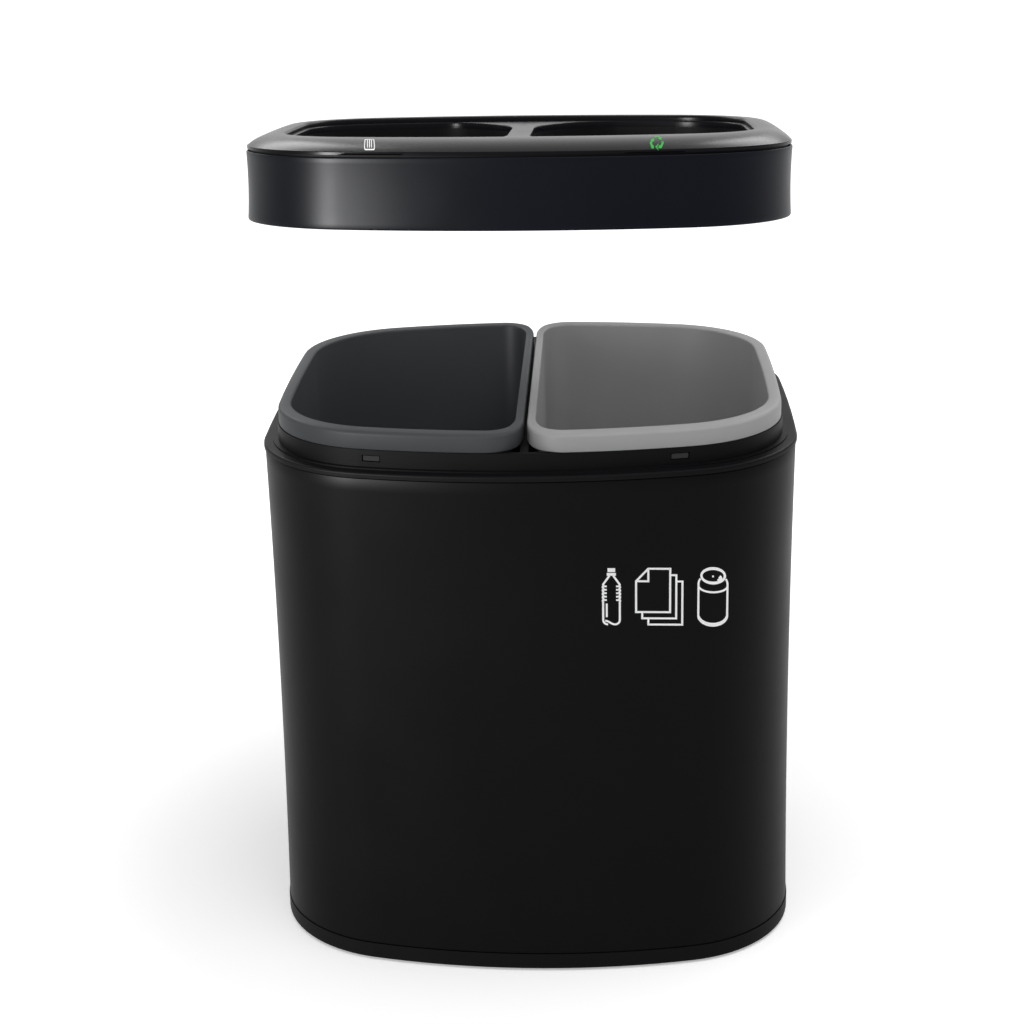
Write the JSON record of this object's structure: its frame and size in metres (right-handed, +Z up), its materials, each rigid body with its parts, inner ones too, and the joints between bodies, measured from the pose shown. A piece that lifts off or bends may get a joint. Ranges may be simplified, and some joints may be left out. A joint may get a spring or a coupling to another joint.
{
  "type": "double recycling bin",
  "caption": "Double recycling bin: a waisted black steel can holding dark and light grey lift-out plastic buckets under a lift-off lid ring with an opening over each.",
  "frame": {"origin": "centre of the bin's plan on the floor that its feet stand on", "axes": "+Z up, +X from the dark left bucket to the light right bucket, -Y towards the front"},
  "size_m": [0.2637, 0.2608, 0.4019],
  "materials": {
    "shell_paint": "satin black powder coat",
    "band_paint": "satin black powder coat",
    "black_plastic": "fine moulded texture",
    "gloss_black_plastic": "polished moulding",
    "dark_grey_plastic": "fine moulded texture",
    "light_grey_plastic": "fine moulded texture",
    "grey_plastic": "plain",
    "foot_rubber": "matte",
    "bracket_steel": "zinc plated",
    "zinc_steel": "zinc plated"
  },
  "bodies": {
    "bin": {"outer_shell": "shell_paint", "base_pan": "black_plastic", "foot_front_left": "foot_rubber", "foot_front_right": "foot_rubber", "foot_rear_left": "foot_rubber", "foot_rear_right": "foot_rubber", "base_bracket_front_left": "bracket_steel", "base_bracket_front_right": "bracket_steel", "base_bracket_rear_left": "bracket_steel", "base_bracket_rear_right": "bracket_steel", "base_screws": "zinc_steel", "collar": "black_plastic", "latch_spring_front_left": "grey_plastic", "latch_spring_front_right": "grey_plastic", "latch_spring_rear_left": "grey_plastic", "latch_spring_rear_right": "grey_plastic"},
    "right_bucket": {"right_bucket": "light_grey_plastic"},
    "left_bucket": {"left_bucket": "dark_grey_plastic"},
    "lid": {"lid_band": "band_paint", "lid_top_frame": "gloss_black_plastic", "lid_carrier": "black_plastic", "lid_screws": "zinc_steel"}
  },
  "joints": [
    {"name": "right_bucket_lift", "type": "slide", "parent": "bin", "child": "right_bucket", "axis": [0, 0, 1], "range_m": [0, 0.3]},
    {"name": "left_bucket_lift", "type": "slide", "parent": "right_bucket", "child": "left_bucket", "axis": [0, 0, 1], "range_m": [0, 0.3]},
    {"name": "lid_lift", "type": "hinge", "parent": "left_bucket", "child": "lid", "pos_m": [0.15208, 1.18004, 0.1392], "axis": [-0.991, 0.1224, -0.0546], "range_deg": [-4.83, 2]}
  ]
}
